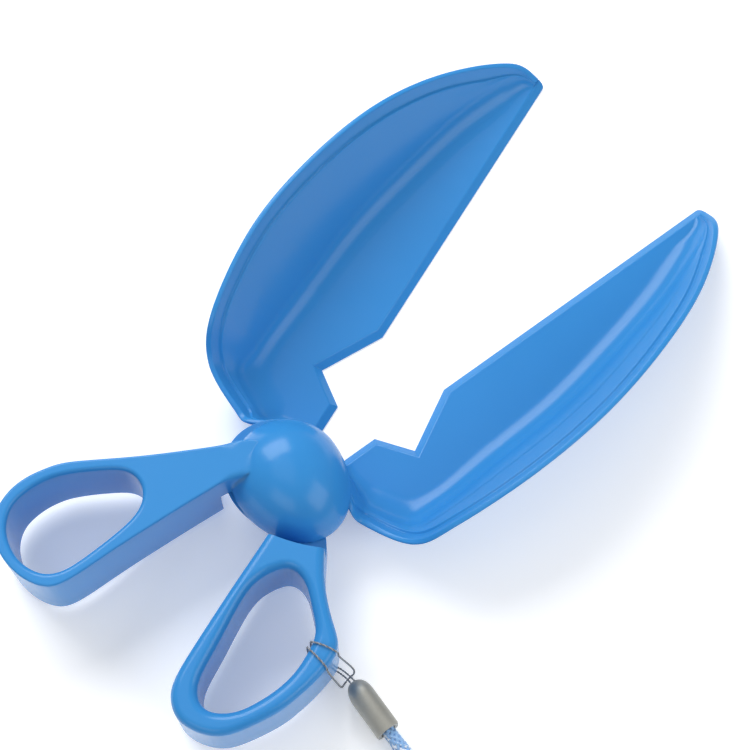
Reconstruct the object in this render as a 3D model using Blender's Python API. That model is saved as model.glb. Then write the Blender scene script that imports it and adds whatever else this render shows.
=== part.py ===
"""Scissor-action pooper scooper: two dish scoops crossing at a ball hub, with a wrist lanyard.

Metres, +Z up. The hinge axis is the Z axis and the scoops open towards +X, rims up.
Each half is drawn closed, with its mating edge along X, then turned to the resting spread.
"""
import math

import bmesh
import bpy
from mathutils import Matrix, Vector

# Whole object
REST_ANGLE = math.radians(11.5)
FIT_GAP = 0.0003
OVERRUN = 0.004
SMALLEST_SHARE = 0.01

# Where the outlines of scoop and handle start, from the hinge
OUTLINE_BACK = 0.0018
OUTLINE_OUT = 0.00036

# Dish scoops
SCOOP_REACH = 0.139
SCOOP_BREADTH = 0.0395
SCOOP_DEPTH = 0.032
WALL = 0.0022
FLOOR_FILLET = 0.008
FILLET_RISE_SHARE = 1.2
LIP_HEIGHT = 0.0034
LIP_RISE_SHARE = 0.3
LIP_STEP_SHARE = 0.36
LIP_ROUND_SHARE = 0.2
TIP_GAP = 0.00015
ROOT_GAP = 0.0012
NOTCH_DEPTH = 0.0089
NOTCH_SHARES = (0.203, 0.250, 0.367)
EDGE_LAND = 0.0003
EDGE_BEVEL = 0.0019

# Rim x, y and rise, then outward angle, wall angle and fillet, from the tip to the heel
DISH_SHARES = (
    (0.999, 0.030, 0.010, 5, 67, 1.0),
    (0.980, 0.250, 0.221, 32, 67, 1.0),
    (0.856, 0.565, 0.554, 68, 67, 1.0),
    (0.706, 0.790, 0.832, 70, 67, 1.0),
    (0.535, 0.942, 0.950, 79, 67, 1.0),
    (0.360, 1.000, 0.997, 90, 67, 1.0),
    (0.195, 0.952, 0.799, 109, 67, 1.0),
    (0.122, 0.843, 0.460, 124, 58, 1.4),
    (0.074, 0.542, 0.326, 145, 52, 1.3),
)
STATION_STEPS = 4
ARC_STEPS = 4

# Ball hub
BALL_RADIUS = 0.0145
BALL_RAISE = 0.0008
PIVOT_HEIGHT = BALL_RADIUS + BALL_RAISE
BALL_CLEARANCE = 0.0004
HUB_FLAT = 0.002
HUB_SHELL = 0.0026
HUB_WALL_SHARE = 0.967
HUB_FILLET_SHARE = 0.375
HUB_WALL_ANGLE = 80
HUB_OUTWARD_ANGLE = 180
HUB_SHOULDER_ANGLE = 30
HUB_LIP_SHARE = 0.04
FRONT_DOME_STRETCH = 1.3
REAR_DOME_STRETCH = 1.17
HEEL_SHARES = (0.49, 1.14, 0.9)
HEEL_OUTWARD_ANGLE = 155
HEEL_WALL_ANGLE = 52
HEEL_FILLET_SHARE = 0.75
FRONT_HEEL_LIP = 0.5
REAR_HEEL_LIP = 0.3
FRONT_HUB_RISE = 0.0022
REAR_HUB_DROP = 0.0007
TURN_STEPS = 48
DOME_STEPS = 12

# Handles
HANDLE_REACH = 0.068
HANDLE_BREADTH = 0.036
HANDLE_BOTTOM = 0.0038
HANDLE_TOP = 0.0268
FRONT_EDGE_ROUND = 0.0006
FRONT_RING_ROUND = 0.0013
REAR_EDGE_ROUND = 0.0022
REAR_RING_ROUND = 0.0024
FRONT_STEP_GAP = 0.0031
REAR_STEP_GAP = 0.0053
OUTLINE_STEPS = 3
ROUND_STEPS = 3

FRONT_HANDLE_SHARES = (
    (-0.045, 0.190), (0.040, 0.335), (0.107, 0.385), (0.191, 0.462), (0.322, 0.581), (0.424, 0.692),
    (0.522, 0.806), (0.622, 0.917), (0.697, 0.961), (0.772, 0.983), (0.846, 0.969),
    (0.919, 0.906), (0.971, 0.792), (0.997, 0.625), (0.985, 0.431), (0.938, 0.272),
    (0.860, 0.206), (0.662, 0.200), (0.441, 0.183), (0.201, 0.139), (0.074, 0.124),
    (-0.045, 0.115),
)
FRONT_RING_SHARES = (
    (0.441, 0.536), (0.450, 0.433), (0.491, 0.350), (0.566, 0.303), (0.710, 0.281),
    (0.838, 0.283), (0.912, 0.350), (0.950, 0.486), (0.953, 0.625), (0.926, 0.767),
    (0.865, 0.869), (0.779, 0.897), (0.696, 0.878), (0.625, 0.825), (0.537, 0.731),
    (0.466, 0.636),
)
REAR_HANDLE_SHARES = (
    (0.029, 0.319), (0.101, 0.478), (0.187, 0.567), (0.268, 0.661), (0.350, 0.794),
    (0.419, 0.936), (0.456, 0.978), (0.504, 0.994), (0.607, 0.961), (0.681, 0.919),
    (0.760, 0.861), (0.876, 0.719), (0.935, 0.606), (0.962, 0.458), (0.956, 0.306),
    (0.904, 0.192), (0.824, 0.147), (0.662, 0.144), (0.441, 0.150), (0.226, 0.164),
    (0.059, 0.156), (0.015, 0.222),
)
REAR_RING_SHARES = (
    (0.293, 0.458), (0.312, 0.367), (0.390, 0.275), (0.485, 0.253), (0.662, 0.278),
    (0.794, 0.294), (0.860, 0.361), (0.876, 0.472), (0.831, 0.617), (0.750, 0.719),
    (0.674, 0.783), (0.593, 0.819), (0.493, 0.817), (0.435, 0.783), (0.372, 0.678),
    (0.315, 0.569),
)

# Pivot pieces, from the back of the hub inwards
CAP_RADIUS = 0.0066
CAP_THICKNESS = 0.0017
CAP_PLUG = 0.0022
CAP_CHAMFER = 0.0004
COUNTERBORE_RADIUS = 0.0056
SCREW_RADIUS = 0.0015
SCREW_HEAD_RADIUS = 0.0036
SCREW_HEAD_HEIGHT = 0.0023
SCREW_SOCKET_RADIUS = 0.0016
SCREW_SOCKET_DEPTH = 0.0012
SCREW_SOCKET_SIDES = 6
SCREW_BITE = 0.003
WASHER_THICKNESS = 0.0008
BOSS_RADIUS = 0.0032
BUSH_WALL = 0.0008
SPRING_INNER = 0.0054
SPRING_OUTER = 0.0074
SPRING_THICKNESS = 0.0004
SPRING_WAVE = 0.00025
SPRING_WAVES = 3
SPRING_RECESS = 0.00125
SPRING_SEAT = 0.0006

# Lanyard
CORD_DIAMETER = 0.0034
CORD_RESOLUTION = 2
STRING_DIAMETER = 0.00055
STRING_RESOLUTION = 1
FERRULE_TIP = Vector((-0.0262, -0.0463, 0))
FERRULE_TURN = math.radians(-101.5)
FERRULE_LENGTH = 0.0151
FERRULE_WALL = 0.0011
FERRULE_BORE_SHARE = 0.62
FERRULE_STEPS = 12
FERRULE_SHARES = (
    (0.00, 0.32, 0.05), (0.02, 0.50, 0.15), (0.06, 0.70, 0.40), (0.13, 0.88, 0.75),
    (0.22, 0.98, 0.95), (0.30, 1.00, 1.00), (0.97, 1.00, 1.00), (1.00, 0.95, 1.00),
)

# Wrist cord route: beyond the ferrule's mouth, to its side, and height
WRIST_ROUTE = (
    (-0.0080, 0.0000, 0.00680), (0.0010, 0.0000, 0.00680), (0.0080, 0.0006, 0.00620),
    (0.0170, 0.0032, 0.00330), (0.0270, 0.0046, 0.00180), (0.0390, 0.0036, 0.00175),
    (0.0560, -0.0060, 0.00175), (0.0650, -0.0260, 0.00175), (0.0590, -0.0480, 0.00175),
    (0.0400, -0.0620, 0.00175), (0.0190, -0.0660, 0.00175), (0.0010, -0.0630, 0.00175),
    (-0.0080, -0.0540, 0.00175), (0.0000, -0.0440, 0.00175), (0.0180, -0.0440, 0.00175),
    (0.0340, -0.0410, 0.00175), (0.0450, -0.0330, 0.00175), (0.0480, -0.0220, 0.00175),
    (0.0420, -0.0110, 0.00175), (0.0310, -0.0055, 0.00175), (0.0210, -0.0034, 0.00180),
    (0.0130, -0.0012, 0.00210), (0.0040, 0.0000, 0.00300), (-0.0010, 0.0000, 0.00310),
    (-0.0080, 0.0000, 0.00310),
)
WRIST_STEPS = 4

# String route round the ring's outer bar: along the bar, outwards from the ring hole, and height
BAR_CORNER = Vector((-0.0256, -0.0343, 0))
BAR_TURN = math.radians(-150.5)
STRING_ROUTE = (
    (0.00588, 0.01043, 0.00495), (0.00530, 0.00960, 0.00465), (0.00430, 0.00800, 0.00390),
    (0.00360, 0.00660, 0.00330), (0.00300, 0.00450, 0.00315), (0.00250, 0.00150, 0.00310),
    (0.00230, -0.00030, 0.00350), (0.00230, -0.00095, 0.00500), (0.00250, -0.00100, 0.01200),
    (0.00260, -0.00100, 0.02350), (0.00275, -0.00030, 0.02640), (0.00320, 0.00280, 0.02745),
    (0.00390, 0.00590, 0.02640), (0.00420, 0.00645, 0.02350), (0.00400, 0.00790, 0.01700),
    (0.00370, 0.00910, 0.01100), (0.00365, 0.00980, 0.00680), (0.00400, 0.00990, 0.00430),
    (0.00460, 0.00940, 0.00300), (0.00560, 0.00870, 0.00270), (0.00680, 0.00820, 0.00300),
    (0.00785, 0.00795, 0.00430), (0.00850, 0.00765, 0.00680), (0.00870, 0.00680, 0.01200),
    (0.00860, 0.00480, 0.02350), (0.00800, 0.00420, 0.02640), (0.00640, 0.00190, 0.02745),
    (0.00460, -0.00080, 0.02640), (0.00400, -0.00150, 0.02350), (0.00390, -0.00140, 0.01200),
    (0.00380, -0.00125, 0.00500), (0.00360, -0.00050, 0.00350), (0.00360, 0.00150, 0.00310),
    (0.00400, 0.00450, 0.00315), (0.00460, 0.00640, 0.00330), (0.00530, 0.00780, 0.00390),
    (0.00610, 0.00900, 0.00465), (0.00672, 0.00967, 0.00495),
)
STRING_STEPS = 2


class Half:
    """One plastic half: which way it faces, and the places that only it has."""

    def __init__(self, name, side, hub_top, heel_lip, dome_stretch, outlines, rounds, step_gap):
        self.name = name
        self.side = side
        self.hub_top = hub_top
        self.heel_lip = heel_lip
        self.dome_stretch = dome_stretch
        self.outline, self.ring = outlines
        self.edge_round, self.ring_round = rounds
        self.step_radius = BALL_RADIUS + step_gap

    def place(self, x, y, z):
        """Turn a point of the closed half's outlines to its side of the resting scooper."""
        turn = self.side * REST_ANGLE
        x = x - OUTLINE_BACK
        y = self.side * (y + OUTLINE_OUT)
        return Vector((x * math.cos(turn) - y * math.sin(turn), x * math.sin(turn) + y * math.cos(turn), z))


FRONT = Half("front_half", -1, PIVOT_HEIGHT + FRONT_HUB_RISE, FRONT_HEEL_LIP, FRONT_DOME_STRETCH,
             (FRONT_HANDLE_SHARES, FRONT_RING_SHARES), (FRONT_EDGE_ROUND, FRONT_RING_ROUND), FRONT_STEP_GAP)
REAR = Half("rear_half", 1, PIVOT_HEIGHT - REAR_HUB_DROP, REAR_HEEL_LIP, REAR_DOME_STRETCH,
            (REAR_HANDLE_SHARES, REAR_RING_SHARES), (REAR_EDGE_ROUND, REAR_RING_ROUND), REAR_STEP_GAP)


def clear_scene():
    for item in list(bpy.data.objects):
        bpy.data.objects.remove(item, do_unlink=True)


def finish(name, colour, roughness, metallic=0.0, coat=0.0):
    """A Principled material for one piece."""
    material = bpy.data.materials.new(name)
    material.use_nodes = True
    shader = material.node_tree.nodes["Principled BSDF"]
    shader.inputs["Base Color"].default_value = (*colour, 1)
    shader.inputs["Roughness"].default_value = roughness
    shader.inputs["Metallic"].default_value = metallic
    shader.inputs["Coat Weight"].default_value = coat
    return material


def smooth_path(points, steps, closed=False):
    """Points of a Catmull-Rom curve through the given ones, of any dimension."""
    points = [Vector(point) for point in points]
    count = len(points)
    spans = count if closed else count - 1

    def at(index):
        return points[index % count] if closed else points[min(max(index, 0), count - 1)]

    path = []
    for span in range(spans):
        before, start, end, after = (at(span + shift) for shift in (-1, 0, 1, 2))
        for step in range(steps):
            t = step / steps
            bend = (2 * before - 5 * start + 4 * end - after) * t + (end - before)
            path.append(start + (bend * t + (3 * start - before - 3 * end + after) * t ** 3) / 2)
    if not closed:
        path.append(points[-1])
    return path


def loft(name, sections, closed=False):
    """A closed body through sections that have the same number of points."""
    shape = bmesh.new()
    loops = [[shape.verts.new(point) for point in section] for section in sections]
    pairs = list(zip(loops, loops[1:]))
    if closed:
        pairs.append((loops[-1], loops[0]))
    else:
        shape.faces.new(loops[0])
        shape.faces.new(loops[-1])
    for first, second in pairs:
        for index, corner in enumerate(first):
            shape.faces.new((first[index - 1], corner, second[index], second[index - 1]))
    bmesh.ops.recalc_face_normals(shape, faces=shape.faces)
    mesh = bpy.data.meshes.new(name)
    shape.to_mesh(mesh)
    shape.free()
    item = bpy.data.objects.new(name, mesh)
    bpy.context.collection.objects.link(item)
    return item


def combine(target, tool, operation):
    """Boolean a hidden tool solid into the target."""
    modifier = target.modifiers.new(tool.name, "BOOLEAN")
    modifier.operation = operation
    modifier.solver = "EXACT"
    modifier.object = tool
    tool.hide_render = True
    tool.display_type = "WIRE"


def ring(radius, height):
    turns = (math.tau * step / TURN_STEPS for step in range(TURN_STEPS))
    return [Vector((radius * math.cos(turn), radius * math.sin(turn), height)) for turn in turns]


def dome(half, name, profile):
    """Half of the ball, stretched towards its own half's heel."""
    turn = half.side * REST_ANGLE
    heel = Vector((-half.side * math.sin(turn), half.side * math.cos(turn), 0))
    sections = []
    for radius, height in profile:
        points = ring(radius, height)
        sections.append([point + heel * max(point.dot(heel), 0) * (half.dome_stretch - 1) for point in points])
    return loft(name, sections)


def turned(name, profile):
    """A solid round the hinge axis from (radius, height) pairs."""
    return loft(name, [ring(radius, height) for radius, height in profile])


def turned_ring(name, profile, wave=0.0):
    """A ring round the hinge axis from a closed profile, with an optional wave."""
    sections = []
    for step in range(TURN_STEPS):
        turn = math.tau * step / TURN_STEPS
        lift = wave * math.sin(SPRING_WAVES * turn)
        sections.append([Vector((r * math.cos(turn), r * math.sin(turn), z + lift)) for r, z in profile])
    return loft(name, sections, closed=True)


def box_profile(inner, outer, low, high):
    return ((inner, low), (outer, low), (outer, high), (inner, high))


def sphere_profile(radius, low, high):
    """Radius and height pairs of a sphere round the pivot height, between two heights."""
    first = math.asin(max((low - PIVOT_HEIGHT) / radius, -math.cos(SMALLEST_SHARE)))
    last = math.asin(min((high - PIVOT_HEIGHT) / radius, math.cos(SMALLEST_SHARE)))
    angles = (first + (last - first) * step / DOME_STEPS for step in range(DOME_STEPS + 1))
    return [(radius * math.cos(angle), PIVOT_HEIGHT + radius * math.sin(angle)) for angle in angles]


def inset(outline, amount):
    """Move a closed plan outline inwards, or outwards if the amount is negative."""
    area = sum(a.x * b.y - b.x * a.y for a, b in zip(outline, outline[1:] + outline[:1]))
    inward = amount if area > 0 else -amount
    moved = []
    for index, point in enumerate(outline):
        along = (outline[(index + 1) % len(outline)] - outline[index - 1]).normalized()
        moved.append(point + Vector((-along.y, along.x)) * inward)
    return moved


def round_levels(low, high, radius):
    """Height and inset pairs up a block whose top and bottom edges are rounded."""
    angles = [math.pi / 2 * step / ROUND_STEPS for step in range(ROUND_STEPS + 1)]
    rise = [(radius * (1 - math.cos(angle)), radius * (1 - math.sin(angle))) for angle in angles]
    bottom = [(low + lift, amount) for lift, amount in rise]
    return bottom + [(high - lift, amount) for lift, amount in reversed(rise)]


def handle_outline(half, shares):
    points = [(-x * HANDLE_REACH, -y * HANDLE_BREADTH) for x, y in shares]
    return smooth_path(points, OUTLINE_STEPS, closed=True)


def stacked(half, name, outline, levels):
    """A block with the outline inset by the given amount at each height."""
    sections = []
    for height, amount in levels:
        sections.append([half.place(point.x, point.y, height) for point in inset(outline, amount)])
    return loft(name, sections)


def dish_section(station, spine, half):
    """One section of a dish: floor, fillet, wall, stepped lip and back down outside."""
    x, y, top, outward_angle, wall_angle, fillet, lip_share = station
    rise = max(top - WALL, SMALLEST_SHARE * SCOOP_DEPTH)
    top = WALL + rise
    radius = min(fillet, FILLET_RISE_SHARE * rise)
    lean = math.radians(wall_angle)
    reach = radius * math.tan(lean / 2) + rise / math.tan(lean)
    lip = lip_share * min(LIP_HEIGHT, LIP_RISE_SHARE * rise)
    step = LIP_STEP_SHARE * WALL * lip / LIP_HEIGHT
    crown = LIP_ROUND_SHARE * WALL
    side, drop = math.sin(lean), math.cos(lean)
    foot = reach - lip / math.tan(lean)
    angles = [lean * index / ARC_STEPS for index in range(ARC_STEPS + 1)]
    outer = radius + WALL
    centre = WALL + radius

    profile = [(radius * math.sin(a), centre - radius * math.cos(a)) for a in angles]
    profile.append((foot, top - lip))
    profile.append((foot + step * side, top - lip - step * drop))
    profile.append((reach + step / side, top))
    profile.append((reach + (WALL - crown) / side, top))
    profile.append((reach + WALL / side - crown / math.tan(lean), top - crown))
    profile += [(outer * math.sin(a), centre - outer * math.cos(a)) for a in reversed(angles)]

    outward = Vector((math.cos(math.radians(outward_angle)), math.sin(math.radians(outward_angle))))
    floor = Vector((x, y)) - outward * (reach + WALL / side)
    points = [half.place(spine, -OVERRUN, WALL)]
    points += [half.place(*(floor + outward * run), height) for run, height in profile]
    points.append(half.place(spine, -OVERRUN, 0))
    return points


def dish_stations(half):
    """Stations along the rim, from past the mating line at the tip to past it at the hub."""
    depth = SCOOP_DEPTH - WALL
    stations = []
    for x, y, rise, outward, wall_angle, fillet in DISH_SHARES:
        stations.append((x * SCOOP_REACH, y * SCOOP_BREADTH, WALL + rise * depth, outward, wall_angle,
                         fillet * FLOOR_FILLET, 1))
    tip = stations[0]
    stations.insert(0, (tip[0], -OVERRUN, tip[2], 0, *tip[4:]))
    heel_x, heel_y, heel_rise = HEEL_SHARES
    stations.append((heel_x * BALL_RADIUS + OUTLINE_BACK, heel_y * BALL_RADIUS - OUTLINE_OUT,
                     heel_rise * half.hub_top, HEEL_OUTWARD_ANGLE, HEEL_WALL_ANGLE,
                     HEEL_FILLET_SHARE * FLOOR_FILLET, half.heel_lip))
    radius = BALL_RADIUS * HUB_WALL_SHARE
    hub = (half.hub_top, HUB_OUTWARD_ANGLE, HUB_WALL_ANGLE, FLOOR_FILLET * HUB_FILLET_SHARE, HUB_LIP_SHARE)
    shoulder = math.radians(HUB_SHOULDER_ANGLE)
    across, along = radius * math.sin(shoulder), radius * math.cos(shoulder)
    stations.append((along + OUTLINE_BACK, across, *hub))
    stations.append((radius + OUTLINE_BACK, 0, *hub))
    stations.append((radius + OUTLINE_BACK, -OVERRUN, *hub))
    return stations


def mating_cutter(half):
    """Everything past the mating edge, with the edge's land and knife bevel."""
    span = SCOOP_REACH + BALL_RADIUS
    tooth, notch, step = (share * SCOOP_REACH for share in NOTCH_SHARES)
    corners = [(-BALL_RADIUS, 0), (tooth, 0), (notch, NOTCH_DEPTH), (step, 0), (span, 0)]
    edge = []
    for x, depth in corners:
        gap = ROOT_GAP + (TIP_GAP - ROOT_GAP) * x / SCOOP_REACH
        edge.append(Vector((x, depth + gap)))
    far = [Vector((span, -SCOOP_BREADTH)), Vector((-BALL_RADIUS, -SCOOP_BREADTH))]
    sections = []
    levels = ((-OVERRUN, 0), (EDGE_LAND, 0), (WALL, EDGE_BEVEL), (SCOOP_DEPTH + OVERRUN, EDGE_BEVEL))
    for height, amount in levels:
        outline = mitred(edge, amount) + far
        sections.append([half.place(point.x, point.y, height) for point in outline])
    return loft(half.name + "_mating_cut", sections)


def mitred(edge, amount):
    """Shift an open polyline to its left by an amount, with mitred corners."""
    moved = []
    for index, point in enumerate(edge):
        normals = []
        for first, second in ((index - 1, index), (index, index + 1)):
            if first >= 0 and second < len(edge):
                along = (edge[second] - edge[first]).normalized()
                normals.append(Vector((-along.y, along.x)))
        middle = sum(normals, Vector((0, 0))).normalized()
        moved.append(point + middle * amount / middle.dot(normals[0]))
    return moved


def dish(half):
    """The scoop, cut along its mating edge and clear of the other half's dome."""
    stations = smooth_path(dish_stations(half), STATION_STEPS)
    tip, hub = SCOOP_REACH - FLOOR_FILLET, BALL_RADIUS + OUTLINE_BACK + FLOOR_FILLET
    spines = [tip + (hub - tip) * index / (len(stations) - 1) for index in range(len(stations))]
    item = loft(half.name, [dish_section(station, spine, half) for station, spine in zip(stations, spines)])
    combine(item, mating_cutter(half), "DIFFERENCE")
    clear = BALL_RADIUS + BALL_CLEARANCE
    if half is FRONT:
        profile = sphere_profile(clear, PIVOT_HEIGHT - clear, PIVOT_HEIGHT + FIT_GAP / 2)
    else:
        profile = [(clear, PIVOT_HEIGHT - FIT_GAP / 2), (clear, SCOOP_DEPTH + OVERRUN)]
    combine(item, turned(half.name + "_dome_clearance", profile), "DIFFERENCE")
    return item


def handle(half):
    """A finger-ring handle, with a step under or over the other half's dome."""
    levels = round_levels(HANDLE_BOTTOM, HANDLE_TOP, half.edge_round)
    item = stacked(half, half.name + "_handle", handle_outline(half, half.outline), levels)
    flare = round_levels(HANDLE_BOTTOM, HANDLE_TOP, half.ring_round)
    flare = [(HANDLE_BOTTOM - OVERRUN, half.ring_round)] + flare + [(HANDLE_TOP + OVERRUN, half.ring_round)]
    flare = [(height, -amount) for height, amount in flare]
    hole = stacked(half, half.name + "_ring_hole", handle_outline(half, half.ring), flare)
    combine(item, hole, "DIFFERENCE")
    if half is FRONT:
        low, high = HANDLE_BOTTOM - OVERRUN, PIVOT_HEIGHT + FIT_GAP / 2
    else:
        low, high = PIVOT_HEIGHT - FIT_GAP / 2, HANDLE_TOP + OVERRUN
    step = turned(half.name + "_step", [(half.step_radius, low), (half.step_radius, high)])
    combine(item, step, "DIFFERENCE")
    return item


def front_half():
    """The viewer's half: right scoop, closed front dome with its boss, left handle."""
    face = PIVOT_HEIGHT + FIT_GAP / 2
    shelf = washer_top() + FIT_GAP
    item = dish(FRONT)
    combine(item, handle(FRONT), "UNION")
    profile = sphere_profile(BALL_RADIUS, face, PIVOT_HEIGHT + BALL_RADIUS)
    combine(item, dome(FRONT, "front_dome", profile), "UNION")
    combine(item, front_hollow(face), "DIFFERENCE")
    combine(item, turned("front_boss", [(BOSS_RADIUS, shelf), (BOSS_RADIUS, face + HUB_SHELL)]), "UNION")
    pilot = SCREW_RADIUS + FIT_GAP
    pilot_top = screw_top() + FIT_GAP
    combine(item, turned("front_pilot", [(pilot, shelf - FIT_GAP), (pilot, pilot_top)]), "DIFFERENCE")
    return item


def front_hollow(face):
    """The ring-shaped hollow in the front dome, round the core that bears on the spring washer."""
    seat = SPRING_OUTER + SPRING_SEAT
    inner = BALL_RADIUS - HUB_SHELL
    first = math.asin((face - PIVOT_HEIGHT) / inner)
    last = math.acos(seat / inner)
    angles = [first + (last - first) * step / DOME_STEPS for step in range(DOME_STEPS + 1)]
    crown = [(inner * math.cos(angle), PIVOT_HEIGHT + inner * math.sin(angle)) for angle in angles]
    return turned_ring("front_hollow", [(seat, face - FIT_GAP), (inner, face - FIT_GAP)] + crown)


def rear_half():
    """The back half: left scoop, bored rear dome, lower handle that holds the lanyard."""
    face = PIVOT_HEIGHT - FIT_GAP / 2
    shelf = washer_top() + FIT_GAP
    recess = face - SPRING_RECESS
    item = dish(REAR)
    combine(item, handle(REAR), "UNION")
    combine(item, dome(REAR, "rear_dome", sphere_profile(BALL_RADIUS, HUB_FLAT, face)), "UNION")
    bore = BOSS_RADIUS + 2 * FIT_GAP + BUSH_WALL
    seat = SPRING_OUTER + SPRING_SEAT
    profile = [(COUNTERBORE_RADIUS, 0), (COUNTERBORE_RADIUS, shelf), (bore, shelf), (bore, recess),
               (seat, recess), (seat, face + OVERRUN)]
    combine(item, turned("rear_bore", profile), "DIFFERENCE")
    return item


def head_bottom():
    """The screw's head starts this far up the axis, clear of the cap's plug."""
    return CAP_THICKNESS + CAP_PLUG + 2 * FIT_GAP


def washer_top():
    return head_bottom() + SCREW_HEAD_HEIGHT + FIT_GAP + WASHER_THICKNESS


def screw_top():
    """How far up the screw ends, past the hub's parting face."""
    return PIVOT_HEIGHT + SCREW_BITE


def pivot_cap():
    """Press-in cap, whose outer face is the object's flat back."""
    plug = COUNTERBORE_RADIUS - FIT_GAP
    profile = [(CAP_RADIUS - CAP_CHAMFER, 0), (CAP_RADIUS, CAP_CHAMFER), (CAP_RADIUS, CAP_THICKNESS),
               (plug, CAP_THICKNESS), (plug, CAP_THICKNESS + CAP_PLUG)]
    return turned("pivot_cap", profile)


def pivot_screw():
    low = head_bottom()
    high = low + SCREW_HEAD_HEIGHT
    profile = [(SCREW_HEAD_RADIUS, low), (SCREW_HEAD_RADIUS, high), (SCREW_RADIUS, high),
               (SCREW_RADIUS, screw_top())]
    item = turned("pivot_screw", profile)
    hexagon = []
    for height in (low - FIT_GAP, low + SCREW_SOCKET_DEPTH):
        corners = (math.tau * side / SCREW_SOCKET_SIDES for side in range(SCREW_SOCKET_SIDES))
        hexagon.append([Vector((SCREW_SOCKET_RADIUS * math.cos(a), SCREW_SOCKET_RADIUS * math.sin(a), height))
                        for a in corners])
    combine(item, loft("screw_socket", hexagon), "DIFFERENCE")
    return item


def pivot_washer():
    high = washer_top()
    inner, outer = SCREW_RADIUS + FIT_GAP, COUNTERBORE_RADIUS - FIT_GAP
    return turned_ring("pivot_washer", box_profile(inner, outer, high - WASHER_THICKNESS, high))


def pivot_bush():
    low = washer_top() + 2 * FIT_GAP
    high = PIVOT_HEIGHT - FIT_GAP / 2 - SPRING_RECESS - FIT_GAP
    inner = BOSS_RADIUS + FIT_GAP
    return turned_ring("pivot_bush", box_profile(inner, inner + BUSH_WALL, low, high))


def spring_washer():
    """Wave washer in the recess between the hub's two faces."""
    middle = PIVOT_HEIGHT - SPRING_RECESS / 2
    low, high = middle - SPRING_THICKNESS / 2, middle + SPRING_THICKNESS / 2
    return turned_ring("spring_washer", box_profile(SPRING_INNER, SPRING_OUTER, low, high), SPRING_WAVE)


def stadium(radius, lift):
    """A round-ended upright section, as side and height pairs."""
    points = []
    for step in range(2 * FERRULE_STEPS + 2):
        upper = step <= FERRULE_STEPS
        turn = math.pi * (step if upper else step - 1) / FERRULE_STEPS
        points.append((radius * math.cos(turn), radius * math.sin(turn) + (lift if upper else -lift)))
    return points


def ferrule():
    """Crimped metal bell that joins the string to the two ends of the wrist cord."""
    bore = CORD_DIAMETER / 2 + FIT_GAP
    radius = bore + FERRULE_WALL
    lift = (CORD_DIAMETER + FIT_GAP) / 2
    height = radius + lift
    frame = Matrix.Translation(FERRULE_TIP) @ Matrix.Rotation(FERRULE_TURN, 4, "Z")
    sections = []
    for along, radius_share, lift_share in FERRULE_SHARES:
        outline = stadium(radius * radius_share, lift * lift_share)
        sections.append([frame @ Vector((along * FERRULE_LENGTH, side, height + up)) for side, up in outline])
    item = loft("ferrule", sections)
    start = (1 - FERRULE_BORE_SHARE) * FERRULE_LENGTH
    cut = []
    for along in (start, FERRULE_LENGTH + OVERRUN):
        cut.append([frame @ Vector((along, side, height + up)) for side, up in stadium(bore, lift)])
    combine(item, loft("ferrule_bore", cut), "DIFFERENCE")
    return item


def tube(name, points, diameter, resolution):
    curve = bpy.data.curves.new(name, "CURVE")
    curve.dimensions = "3D"
    curve.bevel_depth = diameter / 2
    curve.bevel_resolution = resolution
    curve.use_fill_caps = True
    spline = curve.splines.new("POLY")
    spline.points.add(len(points) - 1)
    for target, point in zip(spline.points, points):
        target.co = (*point, 1)
    item = bpy.data.objects.new(name, curve)
    bpy.context.collection.objects.link(item)
    return item


def least_gap(points, diameter):
    """Least space from a tube to itself, between points further along it than three diameters."""
    apart = [0.0]
    for first, second in zip(points, points[1:]):
        apart.append(apart[-1] + (second - first).length)
    least = math.inf
    for index, point in enumerate(points):
        for other in range(index + 1, len(points)):
            if apart[other] - apart[index] > 3 * diameter:
                least = min(least, (points[other] - point).length - diameter)
    return least


def wrist_cord():
    """Braided loop for the wrist, laid on the floor, with both ends in the ferrule."""
    frame = Matrix.Translation(FERRULE_TIP) @ Matrix.Rotation(FERRULE_TURN, 4, "Z")
    route = [frame @ Vector((FERRULE_LENGTH + along, side, up)) for along, side, up in WRIST_ROUTE]
    points = smooth_path(route, WRIST_STEPS)
    length = sum((b - a).length for a, b in zip(points, points[1:]))
    print("wrist cord length", round(length, 4), "points", len(points))
    return tube("wrist_cord", points, CORD_DIAMETER, CORD_RESOLUTION)


def lanyard_string():
    """Thin string in a cow hitch round the lower ring's outer bar."""
    frame = Matrix.Translation(BAR_CORNER) @ Matrix.Rotation(BAR_TURN, 4, "Z")
    route = [frame @ Vector((along, out, up)) for along, out, up in STRING_ROUTE]
    points = smooth_path(route, STRING_STEPS)
    print("string least gap to itself", round(least_gap(points, STRING_DIAMETER), 5), "points", len(points))
    return tube("lanyard_string", points, STRING_DIAMETER, STRING_RESOLUTION)


def dress(item, material, smooth=True):
    item.data.materials.append(material)
    if smooth and item.type == "MESH":
        item.data.shade_smooth()


def main():
    clear_scene()
    blue = (0.062, 0.283, 0.752)
    steel = (0.55, 0.56, 0.57)
    dress(front_half(), finish("front_half", blue, 0.22, coat=0.4))
    dress(rear_half(), finish("rear_half", blue, 0.22, coat=0.4))
    dress(pivot_cap(), finish("pivot_cap", blue, 0.25, coat=0.3))
    dress(pivot_screw(), finish("pivot_screw", steel, 0.35, metallic=1.0), smooth=False)
    dress(pivot_washer(), finish("pivot_washer", steel, 0.3, metallic=1.0), smooth=False)
    dress(spring_washer(), finish("spring_washer", steel, 0.3, metallic=1.0), smooth=False)
    dress(pivot_bush(), finish("pivot_bush", (0.8, 0.8, 0.76), 0.5), smooth=False)
    dress(ferrule(), finish("ferrule", (0.42, 0.42, 0.38), 0.38, metallic=1.0))
    dress(wrist_cord(), finish("wrist_cord", (0.45, 0.62, 0.85), 0.8))
    dress(lanyard_string(), finish("lanyard_string", (0.03, 0.035, 0.05), 0.7))


main()
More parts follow.
